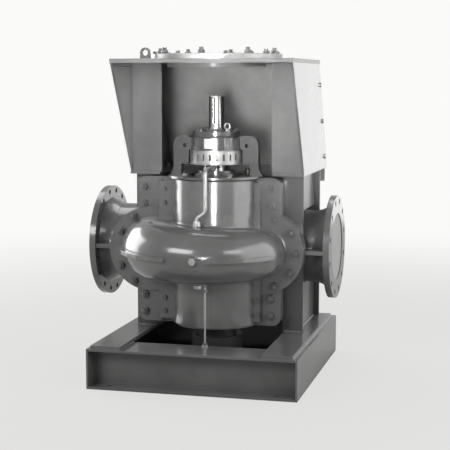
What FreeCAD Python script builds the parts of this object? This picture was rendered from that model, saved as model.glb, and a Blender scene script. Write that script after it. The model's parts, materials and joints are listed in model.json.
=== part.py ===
"""Vertical split case pump in a steel frame, with the stool for its motor.

A double suction volute pump stands with its shaft upright. Its casing is split
along an upright plane through the shaft, so the front half lifts off forwards.
The frame of rolled beams, two columns and a sheet steel stool carries the pump
and offers a round seat on top for the motor.

Millimetres. The origin is the centre of the four anchor holes at the underside
of the frame. X runs from the suction flange to the discharge flange, Y runs
from the front to the back, and Z points up along the shaft.
"""
import FreeCAD
import Part
import Sketcher
import math
import os
import re

# Driving sizes in millimetres, each written once
SIZES = {
    "base_width": 900,
    "base_depth": 990,
    "beam_height": 171,
    "beam_flange_width": 180,
    "beam_flange_thickness": 9.5,
    "beam_web_thickness": 6,
    "end_plate_thickness": 8,
    "channel_flange_width": 70,
    "channel_web_thickness": 8,
    "channel_flange_thickness": 11,
    "anchor_end_distance": 90,
    "anchor_edge_distance": 45,
    "anchor_hole_radius": 11,
    "sole_plate_inner_edge": 300,
    "sole_plate_width": 130,
    "sole_plate_thickness": 16,
    "sole_plate_length": 950,
    "column_half_spacing": 380,
    "column_flange_width": 91,
    "column_flange_thickness": 12,
    "column_front_y": -5,
    "column_web_setback": 24,
    "column_web_thickness": 12,
    "column_web_depth": 402,
    "column_top_gap": 8,
    "nozzle_slot_clearance": 4,
    "rail_depth": 50,
    "rail_height": 100,
    "rail_thickness": 8,
    "rail_front_y": 330,
    "lower_rail_drop": 290,
    "upper_rail_rise": 200,
    "seat_plate_thickness": 10,
    "seat_plate_lip": 8,
    "seat_plate_inner_edge": 255,
    "stool_half_width": 391,
    "stool_rise": 484,
    "stool_sheet_thickness": 10,
    "stool_back_skirt": 76,
    "stool_front_y": -53,
    "stool_rear_y": 545,
    "stool_top_front_y": -321,
    "stool_top_rear_y": 310,
    "stool_front_sheet_thickness": 8,
    "stool_front_opening": 496,
    "top_plate_thickness": 18,
    "top_plate_overhang": 8,
    "top_hole_radius": 200,
    "top_collar_wall": 14,
    "top_collar_depth": 15,
    "motor_ring_radius": 285,
    "motor_ring_bore_radius": 215,
    "motor_ring_thickness": 22,
    "motor_stud_circle_radius": 255,
    "motor_stud_radius": 9,
    "motor_stud_length": 26,
    "lug_width": 44,
    "lug_height": 48,
    "lug_thickness": 14,
    "lug_eye_radius": 13,
    "lug_left_x": -270,
    "lug_right_x": 76,
    "lug_left_y": -210,
    "lug_right_y": 262,
    "shaft_y": -43,
    "shaft_end_radius": 34,
    "shaft_radius": 38,
    "shaft_step_height": 5,
    "shaft_rise": 352,
    "shaft_end_chamfer": 3,
    "running_clearance": 0.05,
    "bore_clearance": 5,
    "keyway_width": 20,
    "keyway_depth": 7.5,
    "keyway_length": 112,
    "keyway_end_gap": 8,
    "casing_middle_height": 545,
    "casing_half_height": 323,
    "chamber_radius": 190,
    "chamber_edge": 12,
    "split_flange_left": 351,
    "split_flange_right": 295,
    "split_flange_thickness": 37,
    "rear_flange_thickness": 29,
    "split_flange_corner": 34,
    "volute_start_flange_width": 80,
    "volute_end_flange_width": 56,
    "volute_flange_step": 8,
    "shoulder_left": 245,
    "shoulder_right": 208,
    "shoulder_depth": 28,
    "shoulder_edge_drop": 18,
    "volute_start_reach": 315,
    "volute_end_reach": 425,
    "volute_start_radius": 104,
    "volute_end_radius": 132,
    "volute_start_drop": 6,
    "volute_end_rise": 14,
    "volute_throat_radius": 158,
    "rib_thickness": 18,
    "rib_projection": 16,
    "gusset_front_y": -56,
    "gusset_depth": 90,
    "gusset_root": 6,
    "nozzle_y": 185,
    "suction_face_x": 588,
    "suction_flange_radius": 252.5,
    "suction_neck_radius": 172,
    "suction_bore_radius": 175,
    "suction_bolt_circle_radius": 230,
    "suction_hole_radius": 11.5,
    "discharge_face_x": 500,
    "discharge_flange_radius": 230,
    "discharge_neck_radius": 162,
    "discharge_bore_radius": 150,
    "discharge_bolt_circle_radius": 205,
    "discharge_hole_radius": 13,
    "nozzle_flange_thickness": 28,
    "nozzle_cover_thickness": 10,
    "nozzle_cover_setback": 5,
    "suction_body_reach": 330,
    "suction_body_half_depth": 135,
    "suction_body_half_height": 300,
    "foot_width": 90,
    "foot_height": 80,
    "foot_spacing": 220,
    "foot_length": 260,
    "lantern_foot_radius": 214,
    "lantern_foot_bore_radius": 120,
    "lantern_foot_thickness": 10,
    "lantern_window_height": 57,
    "arm_reach": 190,
    "arm_gap": 155,
    "arm_shoulder_gap": 121,
    "arm_depth": 44,
    "arm_root": 2,
    "arm_flare": 14,
    "arm_flare_height": 42,
    "arm_corner": 40,
    "arm_hole_x": 138,
    "arm_hole_drop": 44,
    "arm_hole_radius": 9,
    "guard_radius": 116,
    "guard_wall": 20,
    "guard_height": 64,
    "guard_slot_width": 7,
    "guard_slot_height": 26,
    "housing_radius": 113,
    "housing_height": 60,
    "housing_edge": 8,
    "cap_radius": 103,
    "cap_height": 20,
    "cap_cover_radius": 66,
    "cap_cover_height": 10,
    "gland_radius": 84,
    "gland_thickness": 12,
    "gland_sleeve_radius": 50,
    "gland_sleeve_height": 30,
    "stuffing_box_radius": 98,
    "stuffing_box_height": 18,
    "lower_neck_radius": 90,
    "lower_neck_height": 50,
    "lower_housing_radius": 112,
    "lower_housing_height": 92,
    "lower_cap_radius": 96,
    "lower_cap_height": 30,
    "lower_cap_floor": 12,
    "shaft_end_gap": 6,
    "boss_proud": 6,
    "boss_root": 60,
    "plug_across": 28,
    "plug_length": 14,
    "plug_boss_radius": 20,
    "front_plug_x": -7,
    "lower_plug_x": -20,
    "lower_plug_y": -292,
    "flush_pipe_radius": 8,
    "flush_pipe_bend": 26,
    "flush_pipe_x": 9,
    "flush_foot_x": -29,
    "flush_foot_length": 34,
    "flush_knee_length": 26,
    "flush_pipe_y": -270,
    "flush_pipe_rise": 45,
    "flush_boss_radius": 15,
    "flush_nut_radius": 11,
    "flush_nut_length": 16,
    "drain_pipe_radius": 4.5,
    "drain_pipe_x": 20,
    "drain_pipe_y": -322,
    "drain_boss_radius": 11,
    "drain_foot_radius": 13,
    "drain_foot_thickness": 6,
    "seat_gap": 0.3,
}

# Sizes that follow from others, so that frame, stool and shaft keep to the casing
RELATED = {
    "anchor_spacing_across": "base_width - 2 * anchor_end_distance",
    "anchor_spacing_deep": "base_depth - 2 * anchor_edge_distance",
    "casing_top_height": "casing_middle_height + casing_half_height",
    "column_top_height": "casing_top_height + column_top_gap",
    "lower_rail_height": "casing_middle_height - lower_rail_drop",
    "upper_rail_height": "casing_middle_height + upper_rail_rise",
    "stool_height": "column_top_height + stool_rise",
    "shaft_top_height": "casing_top_height + shaft_rise",
    "flush_pipe_height": "casing_top_height + flush_pipe_rise",
}

GUARD_SLOTS = 24
MOTOR_STUDS = 8
SUCTION_HOLES = 16
DISCHARGE_HOLES = 12
VOLUTE_SECTIONS = 7
RIB_STEPS = 6
CORNER_STEPS = 4
KEYWAY_TURN = 40
RIB_TURNS = ((32, 84), (110, 176))

document = FreeCAD.newDocument("SplitCasePump")
sheet = document.addObject("Spreadsheet::Sheet", "Sizes")
cells = dict(SIZES)
cells.update((name, "=" + formula) for name, formula in RELATED.items())
for row, (size_name, size_value) in enumerate(cells.items(), start=1):
    sheet.set("A%d" % row, size_name)
    sheet.set("B%d" % row, str(size_value))
    sheet.setAlias("B%d" % row, size_name)
document.recompute()

sub_parts = []


def linked(formula):
    """Turn each size's name in a formula into a reference to its cell."""

    def refer(match):
        word = match.group(0)
        return "Sizes." + word if word in cells else word

    return re.sub(r"[A-Za-z_][A-Za-z_0-9]*", refer, formula)


def bind(thing, **formulas):
    """Bind properties to formulas; a double underscore stands for a dot."""
    for name, formula in formulas.items():
        thing.setExpression(name.replace("__", "."), linked(formula))


def keep(thing, label):
    """Name a finished sub-part and add it to the list that is written."""
    thing.Label = label
    sub_parts.append(thing)
    return thing


def new_body(label, x="0", y="0", z="0"):
    """A body of the assembly, with its own origin at a bound place."""
    body = document.addObject("PartDesign::Body", label)
    bind(body, Placement__Base__x=x, Placement__Base__y=y, Placement__Base__z=z)
    return keep(body, label)


def sketch_on(body, role, lift="0", turn=0):
    """A sketch on one of the body's own planes, lifted along the plane's normal."""
    sketch = body.newObject("Sketcher::SketchObject", "Sketch")
    plane = [item for item in body.Origin.OriginFeatures if item.Role == role][0]
    sketch.AttachmentSupport = [(plane, "")]
    sketch.MapMode = "FlatFace"
    if turn:
        rotation = FreeCAD.Rotation(FreeCAD.Vector(0, 1, 0), turn)
        sketch.AttachmentOffset = FreeCAD.Placement(FreeCAD.Vector(), rotation)
    bind(sketch, AttachmentOffset__Base__z=lift)
    return sketch


def pin_point(sketch, curve, end, x, y):
    """Hold a curve's end or centre at a place measured from the origin."""
    for kind, formula in (("DistanceX", x), ("DistanceY", y)):
        index = sketch.addConstraint(Sketcher.Constraint(kind, -1, 1, curve, end, 1.0))
        sketch.setExpression("Constraints[%d]" % index, linked(formula))


def polygon(sketch, corners):
    """A closed outline whose corners are pairs of formulas."""
    count = len(corners)
    first = sketch.GeometryCount
    angles = [2 * math.pi * index / count for index in range(count)]
    start = [FreeCAD.Vector(100 * math.cos(a), 100 * math.sin(a), 0) for a in angles]
    for index in range(count):
        side = Part.LineSegment(start[index], start[(index + 1) % count])
        sketch.addGeometry(side, False)
    for index in range(count):
        following = first + (index + 1) % count
        joint = Sketcher.Constraint("Coincident", first + index, 2, following, 1)
        sketch.addConstraint(joint)
    for index, (x, y) in enumerate(corners):
        pin_point(sketch, first + index, 1, x, y)
    return sketch


def rounded(x, y, radius, quarter):
    """Corners along a quarter of a circle, counted round from the right hand side."""
    corners = []
    for step in range(CORNER_STEPS + 1):
        angle = 90 * (quarter + step / CORNER_STEPS)
        across = "%s + %s * cos(%.2f deg)" % (x, radius, angle)
        upwards = "%s + %s * sin(%.2f deg)" % (y, radius, angle)
        corners.append((across, upwards))
    return corners


def rectangle(sketch, left, right, bottom, top):
    """A closed rectangle between four bound edges."""
    corners = [(left, bottom), (right, bottom), (right, top), (left, top)]
    return polygon(sketch, corners)


def circle(sketch, x, y, radius):
    """A circle with a bound centre and radius."""
    centre = FreeCAD.Vector(0, 0, 0)
    ring = Part.Circle(centre, FreeCAD.Vector(0, 0, 1), 50)
    curve = sketch.addGeometry(ring, False)
    pin_point(sketch, curve, 3, x, y)
    index = sketch.addConstraint(Sketcher.Constraint("Radius", curve, 50))
    sketch.setExpression("Constraints[%d]" % index, linked(radius))
    return sketch


def pad(body, sketch, length, symmetric=False, backwards=False):
    """Material raised from a sketch."""
    feature = body.newObject("PartDesign::Pad", "Pad")
    feature.Profile = sketch
    if symmetric:
        feature.SideType = "Symmetric"
    feature.Reversed = backwards
    bind(feature, Length=length)
    return feature


def pocket(body, sketch, length, symmetric=False, backwards=False):
    """Material cut away below a sketch."""
    feature = body.newObject("PartDesign::Pocket", "Pocket")
    feature.Profile = sketch
    if symmetric:
        feature.SideType = "Symmetric"
    feature.Reversed = backwards
    bind(feature, Length=length)
    return feature


def revolve(body, sketch, angle=360, backwards=False, kind="Revolution"):
    """A profile turned about the sketch's upright axis."""
    feature = body.newObject("PartDesign::" + kind, kind)
    feature.Profile = sketch
    feature.ReferenceAxis = (sketch, ["V_Axis"])
    feature.Angle = angle
    feature.Reversed = backwards
    return feature


def polar_pattern(body, feature, sketch, count):
    """Copies of a feature round the normal of its own sketch."""
    pattern = body.newObject("PartDesign::PolarPattern", "PolarPattern")
    pattern.Originals = [feature]
    pattern.Axis = (sketch, ["N_Axis"])
    pattern.Angle = 360
    pattern.Occurrences = count
    body.Tip = pattern
    return pattern


def block(label, x, y, z):
    """A plain rectangular plate between bound faces, kept as a sub-part."""
    plate = document.addObject("Part::Box", label)
    place_block(plate, x, y, z)
    return keep(plate, label)


def place_block(plate, x, y, z):
    """Bind a box between pairs of formulas along each axis."""
    bind(plate, Length="(%s) - (%s)" % (x[1], x[0]))
    bind(plate, Width="(%s) - (%s)" % (y[1], y[0]))
    bind(plate, Height="(%s) - (%s)" % (z[1], z[0]))
    bind(plate, Placement__Base__x=x[0], Placement__Base__y=y[0], Placement__Base__z=z[0])


def span(side, near, far):
    """The low and high ends of a stretch measured outwards from the middle."""
    if side > 0:
        return (near, far)
    return ("-(%s)" % far, "-(%s)" % near)


def signed(side, formula):
    """A formula on the right side, or its mirror image on the left."""
    return formula if side > 0 else "-(%s)" % formula


# Heights that several pieces share
SOLE_TOP = "beam_height + sole_plate_thickness"
SEAT_TOP = "column_top_height + seat_plate_thickness"
CASING_TOP = "casing_middle_height + casing_half_height"
CASING_BOTTOM = "casing_middle_height - casing_half_height"
STOOL_TOP = "stool_height + top_plate_thickness"
COLUMN_WEB_FRONT = "column_front_y + column_flange_thickness"
COLUMN_WEB_REAR = "column_front_y + column_flange_thickness + column_web_depth"
COLUMN_WEB_OUTER = "column_half_spacing - column_web_setback"
VOLUTE_FRONT_REACH = "(volute_start_reach + volute_end_reach) / 2"
VOLUTE_FRONT_RADIUS = "(volute_start_radius + volute_end_radius) / 2"
VOLUTE_SEAT_FRONT = "%s + boss_proud" % VOLUTE_FRONT_REACH
VOLUTE_FRONT_HEIGHT = "casing_middle_height + (volute_end_rise - volute_start_drop) / 2"
VOLUTE_SEAT_HIGH = "%s + %s + boss_proud" % (VOLUTE_FRONT_HEIGHT, VOLUTE_FRONT_RADIUS)
VOLUTE_SEAT_LOW = "%s - %s - boss_proud" % (VOLUTE_FRONT_HEIGHT, VOLUTE_FRONT_RADIUS)
COLUMN_WEB_INNER = "column_half_spacing - column_web_setback - column_web_thickness"


# The base frame
def base_cross_beam(label, side):
    """A wide flange beam across the front or back, closed by a plate at each end."""
    middle = "%d * (base_depth - beam_flange_width) / 2" % side
    body = new_body(label, y=middle)
    section = sketch_on(body, "YZ_Plane")
    rectangle(section, "-beam_flange_width / 2", "beam_flange_width / 2", "0", "beam_height")
    pad(body, section, "base_width", symmetric=True)
    recess = sketch_on(body, "YZ_Plane")
    low = "beam_flange_thickness"
    high = "beam_height - beam_flange_thickness"
    rectangle(recess, "-beam_flange_width / 2 - 1", "-beam_web_thickness / 2", low, high)
    rectangle(recess, "beam_web_thickness / 2", "beam_flange_width / 2 + 1", low, high)
    pocket(body, recess, "base_width - 2 * end_plate_thickness", symmetric=True)
    holes = sketch_on(body, "XY_Plane")
    hole_y = "%d * anchor_spacing_deep / 2 - (%s)" % (side, middle)
    circle(holes, "-anchor_spacing_across / 2", hole_y, "anchor_hole_radius")
    circle(holes, "anchor_spacing_across / 2", hole_y, "anchor_hole_radius")
    pocket(body, holes, "beam_flange_thickness + 1", backwards=True)
    return body


def base_side_channel(label, side):
    """A channel down one side, with its web outside and flush with the beam ends."""
    body = new_body(label)
    outer = signed(side, "base_width / 2")
    web = signed(side, "base_width / 2 - channel_web_thickness")
    tip = signed(side, "base_width / 2 - channel_flange_width")
    low = "channel_flange_thickness"
    high = "beam_height - channel_flange_thickness"
    section = sketch_on(body, "XZ_Plane")
    corners = [(tip, "0"), (outer, "0"), (outer, "beam_height"), (tip, "beam_height")]
    corners += [(tip, high), (web, high), (web, low), (tip, low)]
    polygon(section, corners)
    pad(body, section, "base_depth - 2 * beam_flange_width", symmetric=True)
    return body


def sole_plate(label, side):
    """The long flat plate that a column stands on."""
    across = span(side, "sole_plate_inner_edge", "sole_plate_inner_edge + sole_plate_width")
    along = ("-base_depth / 2", "-base_depth / 2 + sole_plate_length")
    block(label, across, along, ("beam_height", SOLE_TOP))


# The columns
def column(label, side):
    """A column of tee section, cut away where the casing and its nozzle pass.

    The right column is open to the back behind its whole front flange. The spiral
    reaches through the left one, which is open to the front instead.
    """
    body = new_body(label)
    plan = sketch_on(body, "XY_Plane", SOLE_TOP)
    outer = signed(side, "column_half_spacing")
    inner = signed(side, "column_half_spacing - column_flange_width")
    web_out = signed(side, COLUMN_WEB_OUTER)
    web_in = signed(side, COLUMN_WEB_INNER)
    corners = [(inner, "column_front_y"), (outer, "column_front_y")]
    corners += [(outer, COLUMN_WEB_FRONT), (web_out, COLUMN_WEB_FRONT)]
    corners += [(web_out, COLUMN_WEB_REAR), (web_in, COLUMN_WEB_REAR)]
    corners += [(web_in, COLUMN_WEB_FRONT), (inner, COLUMN_WEB_FRONT)]
    polygon(plan, corners)
    pad(body, plan, "column_top_height - (%s)" % SOLE_TOP)
    neck = "suction_neck_radius" if side < 0 else "discharge_neck_radius"
    radius = neck + " + nozzle_slot_clearance"
    reach = "column_half_spacing * 2 + 2"
    hole = sketch_on(body, "YZ_Plane")
    circle(hole, "nozzle_y", "casing_middle_height", radius)
    pocket(body, hole, reach, symmetric=True)
    slot = sketch_on(body, "YZ_Plane")
    bottom = "casing_middle_height - (%s)" % radius
    top = "casing_middle_height + (%s)" % radius
    open_edge = COLUMN_WEB_REAR + " + 1" if side > 0 else "column_front_y - 1"
    rectangle(slot, "nozzle_y", open_edge, bottom, top)
    pocket(body, slot, reach, symmetric=True)
    return body


def rear_post(label, side):
    """The flat bar bolted up the back edge of a column's web, behind the nozzle."""
    across = span(side, "column_half_spacing - column_flange_width", "column_half_spacing")
    along = (COLUMN_WEB_REAR, COLUMN_WEB_REAR + " + column_flange_thickness")
    block(label, across, along, (SOLE_TOP, "column_top_height"))


def rear_rail(label, height):
    """A channel between the columns that the feet of the casing are bolted to."""
    body = new_body(label, z=height)
    section = sketch_on(body, "YZ_Plane")
    back = "rail_front_y + rail_depth"
    web = "rail_front_y + rail_thickness"
    high = "rail_height - rail_thickness"
    corners = [("rail_front_y", "0"), (back, "0"), (back, "rail_thickness")]
    corners += [(web, "rail_thickness"), (web, high), (back, high)]
    corners += [(back, "rail_height"), ("rail_front_y", "rail_height")]
    polygon(section, corners)
    pad(body, section, "2 * (%s)" % COLUMN_WEB_INNER, symmetric=True)
    return body


# The sheet steel stool that carries the motor
def stool_seat(label, side):
    """The plate on top of a column that the stool stands on."""
    across = span(side, "seat_plate_inner_edge", "stool_half_width")
    along = ("stool_front_y - seat_plate_lip", "stool_rear_y - stool_front_sheet_thickness")
    block(label, across, along, ("column_top_height", SEAT_TOP))


def stool_side(label, side):
    """A side sheet that leans forwards as it rises."""
    body = new_body(label)
    inner = "stool_half_width - stool_sheet_thickness"
    lift = inner if side > 0 else "-stool_half_width"
    outline = sketch_on(body, "YZ_Plane", lift)
    corners = [("stool_front_y", SEAT_TOP), ("stool_rear_y", SEAT_TOP)]
    corners += [("stool_top_rear_y", "stool_height"), ("stool_top_front_y", "stool_height")]
    polygon(outline, corners)
    pad(body, outline, "stool_sheet_thickness")
    return body


def stool_front(label, side):
    """An upright sheet beside the open front of the stool."""
    inner = "stool_half_width - stool_sheet_thickness"
    across = span(side, "stool_front_opening / 2", inner)
    along = ("stool_front_y", "stool_front_y + stool_front_sheet_thickness")
    block(label, across, along, (SEAT_TOP, "stool_height"))


def stool_back():
    """The leaning sheet that closes the back of the stool, with an upright skirt below it."""
    body = new_body("stool_back")
    section = sketch_on(body, "YZ_Plane")
    low_inner = "stool_rear_y - stool_front_sheet_thickness"
    high_inner = "stool_top_rear_y - stool_front_sheet_thickness"
    skirt = SEAT_TOP + " - stool_back_skirt"
    corners = [(low_inner, skirt), ("stool_rear_y", skirt), ("stool_rear_y", SEAT_TOP)]
    corners += [("stool_top_rear_y", "stool_height"), (high_inner, "stool_height")]
    corners += [(low_inner, SEAT_TOP)]
    polygon(section, corners)
    pad(body, section, "2 * (stool_half_width - stool_sheet_thickness)", symmetric=True)
    return body


def stool_top():
    """The thick top plate, with a collar round the hole over the shaft."""
    body = new_body("stool_top", y="shaft_y")
    front = "stool_top_front_y - top_plate_overhang - shaft_y"
    back = "stool_top_rear_y + top_plate_overhang - shaft_y"
    plate = sketch_on(body, "XY_Plane", "stool_height")
    rectangle(plate, "-stool_half_width", "stool_half_width", front, back)
    pad(body, plate, "top_plate_thickness")
    collar = sketch_on(body, "XY_Plane", "stool_height - top_collar_depth")
    circle(collar, "0", "0", "top_hole_radius + top_collar_wall")
    pad(body, collar, "top_collar_depth")
    hole = sketch_on(body, "XY_Plane", "stool_height - top_collar_depth")
    circle(hole, "0", "0", "top_hole_radius")
    pocket(body, hole, "top_collar_depth + top_plate_thickness + 1", backwards=True)
    return body


def motor_ring():
    """The machined ring that centres the motor's flange over the shaft."""
    body = new_body("motor_ring", y="shaft_y")
    section = sketch_on(body, "XZ_Plane")
    edge = "motor_ring_radius - 2"
    top = "(%s) + motor_ring_thickness" % STOOL_TOP
    corners = [("motor_ring_bore_radius", STOOL_TOP), ("motor_ring_radius", STOOL_TOP)]
    corners += [("motor_ring_radius", "(%s) - 2" % top), (edge, top)]
    corners += [("motor_ring_bore_radius", top)]
    polygon(section, corners)
    revolve(body, section)
    return body


def motor_studs():
    """The studs that stand in the motor ring, as one group."""
    studs = []
    for index in range(MOTOR_STUDS):
        angle = 360 * index / MOTOR_STUDS
        stud = document.addObject("Part::Cylinder", "Stud")
        bind(stud, Radius="motor_stud_radius", Height="motor_stud_length")
        across = "motor_stud_circle_radius * cos(%.1f deg)" % angle
        along = "shaft_y + motor_stud_circle_radius * sin(%.1f deg)" % angle
        bind(stud, Placement__Base__x=across, Placement__Base__y=along)
        bind(stud, Placement__Base__z="(%s) + motor_ring_thickness" % STOOL_TOP)
        studs.append(stud)
    group = document.addObject("Part::Compound", "MotorStuds")
    group.Links = studs
    return keep(group, "motor_studs")


def lifting_lug(label, x, y):
    """An upright lifting plate with a rounded head and an eye."""
    body = new_body(label, x=x, y=y, z=STOOL_TOP)
    head = "lug_height - lug_width / 2"
    outline = sketch_on(body, "XZ_Plane")
    rectangle(outline, "-lug_width / 2", "lug_width / 2", "0", head)
    pad(body, outline, "lug_thickness", symmetric=True)
    crown = sketch_on(body, "XZ_Plane")
    circle(crown, "0", head, "lug_width / 2")
    pad(body, crown, "lug_thickness", symmetric=True)
    eye = sketch_on(body, "XZ_Plane")
    circle(eye, "0", head, "lug_eye_radius")
    pocket(body, eye, "lug_thickness + 2", symmetric=True)
    return body


# The casing, in two halves
def chamber_profile(sketch):
    """Half of the suction chambers' outline, with bevelled rims."""
    inner = "chamber_radius - chamber_edge"
    corners = [("0", CASING_BOTTOM), (inner, CASING_BOTTOM)]
    corners += [("chamber_radius", "(%s) + chamber_edge" % CASING_BOTTOM)]
    corners += [("chamber_radius", "(%s) - chamber_edge" % CASING_TOP)]
    corners += [(inner, CASING_TOP), ("0", CASING_TOP)]
    polygon(sketch, corners)


def split_flange(body, thickness, backwards):
    """The flange at the split, widened where it follows the spiral."""
    plain = sketch_on(body, "XZ_Plane")
    drop = "split_flange_corner"
    left = "-split_flange_left + " + drop
    right = "split_flange_right - " + drop
    low = "(%s) + %s" % (CASING_BOTTOM, drop)
    high = "(%s) - %s" % (CASING_TOP, drop)
    corners = rounded(right, high, drop, 0) + rounded(left, high, drop, 1)
    corners += rounded(left, low, drop, 2) + rounded(right, low, drop, 3)
    polygon(plain, corners)
    pad(body, plain, thickness, backwards=backwards)
    start_x = "volute_start_reach - volute_start_radius"
    end_x = "-(volute_end_reach - volute_end_radius)"
    thick = thickness + " + volute_flange_step"
    start_radius = "volute_start_radius + volute_start_flange_width"
    end_radius = "volute_end_radius + volute_end_flange_width"
    for x, radius in ((start_x, start_radius), (end_x, end_radius)):
        bulge = sketch_on(body, "XZ_Plane")
        circle(bulge, x, "casing_middle_height", radius)
        pad(body, bulge, thick, backwards=backwards)


def volute_section(body, angle, reach, radius, rise):
    """One round section of the spiral, its seam on the side towards the shaft."""
    sketch = sketch_on(body, "XZ_Plane", turn=180 + angle)
    circle(sketch, "(%s) - (%s)" % (radius, reach), "casing_middle_height + " + rise, radius)
    return sketch


def loft(body, sketches):
    """A smooth solid through a row of sections."""
    feature = body.newObject("PartDesign::AdditiveLoft", "Loft")
    feature.Profile = sketches[0]
    feature.Sections = sketches[1:]
    return feature


def spiral_rib(body, first, last):
    """A level rib round part of the spiral, its edge following the volute's growth."""
    outline = sketch_on(body, "XY_Plane", "casing_middle_height - rib_thickness / 2")
    corners = [("0", "0")]
    for step in range(RIB_STEPS + 1):
        angle = first + (last - first) * step / RIB_STEPS
        grown = "(volute_end_reach - volute_start_reach) * %.4f" % (angle / 180)
        reach = "(volute_start_reach + %s + rib_projection)" % grown
        corners.append((reach + " * cos(%.2f deg)" % angle, "-%s * sin(%.2f deg)" % (reach, angle)))
    polygon(outline, corners)
    pad(body, outline, "rib_thickness")


def boss(body, x, y, radius, upwards):
    """A round boss on top of the spiral or under it, with a flat seat."""
    if upwards:
        lift = "%s - boss_root" % VOLUTE_SEAT_HIGH
    else:
        lift = VOLUTE_SEAT_LOW
    seat = sketch_on(body, "XY_Plane", lift)
    circle(seat, x, "%s - shaft_y" % y, radius)
    pad(body, seat, "boss_root")


def shaft_passage(body):
    """The round passage for the shaft, cut through a piece on the shaft's axis."""
    section = sketch_on(body, "XZ_Plane")
    rectangle(section, "0", "shaft_radius + bore_clearance", "0", "shaft_top_height")
    revolve(body, section, kind="Groove")


def casing_front():
    """The half that lifts off: flange, suction chambers and the front of the spiral."""
    body = new_body("casing_front", y="shaft_y")
    split_flange(body, "split_flange_thickness", backwards=False)
    shoulder = sketch_on(body, "XZ_Plane")
    low = "(%s) + shoulder_edge_drop" % CASING_BOTTOM
    high = "(%s) - shoulder_edge_drop" % CASING_TOP
    rectangle(shoulder, "-shoulder_left", "shoulder_right", low, high)
    pad(body, shoulder, "split_flange_thickness + shoulder_depth")
    profile = sketch_on(body, "XZ_Plane")
    chamber_profile(profile)
    revolve(body, profile, angle=180, backwards=True)
    for first_turn, last_turn in RIB_TURNS:
        spiral_rib(body, first_turn, last_turn)
    boss(body, "flush_foot_x", "flush_pipe_y", "flush_boss_radius", upwards=True)
    boss(body, "drain_pipe_x", "drain_pipe_y", "drain_boss_radius", upwards=False)
    boss(body, "lower_plug_x", "lower_plug_y", "plug_boss_radius", upwards=False)
    front = sketch_on(body, "XZ_Plane", "%s - boss_root" % VOLUTE_SEAT_FRONT)
    circle(front, "front_plug_x", "casing_middle_height", "plug_boss_radius")
    pad(body, front, "boss_root")
    sections = []
    for index in range(VOLUTE_SECTIONS):
        share = index / (VOLUTE_SECTIONS - 1)
        grown = "(volute_end_reach - volute_start_reach) * %.4f" % share
        wider = "(volute_end_radius - volute_start_radius) * %.4f" % share
        reach = "volute_start_reach + " + grown
        radius = "volute_start_radius + " + wider
        rise = "(volute_end_rise + volute_start_drop) * %.4f - volute_start_drop" % share
        sections.append(volute_section(body, -180 * share, reach, radius, rise))
    loft(body, sections)
    shaft_passage(body)
    return body


def nozzle(body, side, face, flange, neck, bore, bolt_circle, hole, holes):
    """A nozzle's drilled flange at the end of its neck, and the seat for its cover."""
    lift = signed(side, face)
    inwards = side > 0
    pipe = sketch_on(body, "YZ_Plane", lift)
    circle(pipe, "nozzle_y - shaft_y", "casing_middle_height", neck)
    pad(body, pipe, face, backwards=inwards)
    disc = sketch_on(body, "YZ_Plane", lift)
    circle(disc, "nozzle_y - shaft_y", "casing_middle_height", flange)
    pad(body, disc, "nozzle_flange_thickness", backwards=inwards)
    seat = sketch_on(body, "YZ_Plane", lift)
    circle(seat, "nozzle_y - shaft_y", "casing_middle_height", bore)
    depth = "nozzle_cover_thickness + nozzle_cover_setback"
    pocket(body, seat, depth, backwards=not inwards)
    centre = sketch_on(body, "YZ_Plane", lift)
    bind(centre, AttachmentOffset__Base__x="nozzle_y - shaft_y")
    bind(centre, AttachmentOffset__Base__y="casing_middle_height")
    half_step = 180 / holes
    across = "%s * sin(%g deg)" % (bolt_circle, half_step)
    circle(centre, across, "%s * cos(%g deg)" % (bolt_circle, half_step), hole)
    drilled = pocket(body, centre, "nozzle_flange_thickness + 1", backwards=not inwards)
    document.recompute()
    polar_pattern(body, drilled, centre, holes)


def suction_body(body):
    """The tall round ended duct that leads from the suction neck to both chambers."""
    outline = sketch_on(body, "YZ_Plane", "-suction_body_reach")
    middle = "nozzle_y - shaft_y"
    low = "casing_middle_height - suction_body_half_height + suction_body_half_depth"
    high = "casing_middle_height + suction_body_half_height - suction_body_half_depth"
    near = "%s - suction_body_half_depth" % middle
    far = "%s + suction_body_half_depth" % middle
    rectangle(outline, near, far, low, high)
    pad(body, outline, "suction_body_reach")
    for height in (low, high):
        end = sketch_on(body, "YZ_Plane", "-suction_body_reach")
        circle(end, middle, height, "suction_body_half_depth")
        pad(body, end, "suction_body_reach")


def gusset(body, side, face):
    """A level web that stiffens a nozzle's flange, its edge towards the front."""
    outline = sketch_on(body, "XY_Plane", "casing_middle_height - rib_thickness / 2")
    turn = "end" if side < 0 else "start"
    edge = "volute_%s_reach + volute_%s_flange_width + seat_gap" % (turn, turn)
    left, right = span(side, edge, "%s - nozzle_flange_thickness + gusset_root" % face)
    rectangle(outline, left, right, "gusset_front_y - shaft_y", "gusset_front_y - shaft_y + gusset_depth")
    pad(body, outline, "rib_thickness")


def feet(body):
    """Four feet that reach back to the rails."""
    for height in ("lower_rail_height", "upper_rail_height"):
        low = "%s + (rail_height - foot_height) / 2" % height
        for side in (-1, 1):
            near = "(foot_spacing - foot_width) / 2"
            far = "(foot_spacing + foot_width) / 2"
            left, right = span(side, near, far)
            end = sketch_on(body, "XZ_Plane", "shaft_y - rail_front_y")
            rectangle(end, left, right, low, low + " + foot_height")
            pad(body, end, "foot_length")


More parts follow.
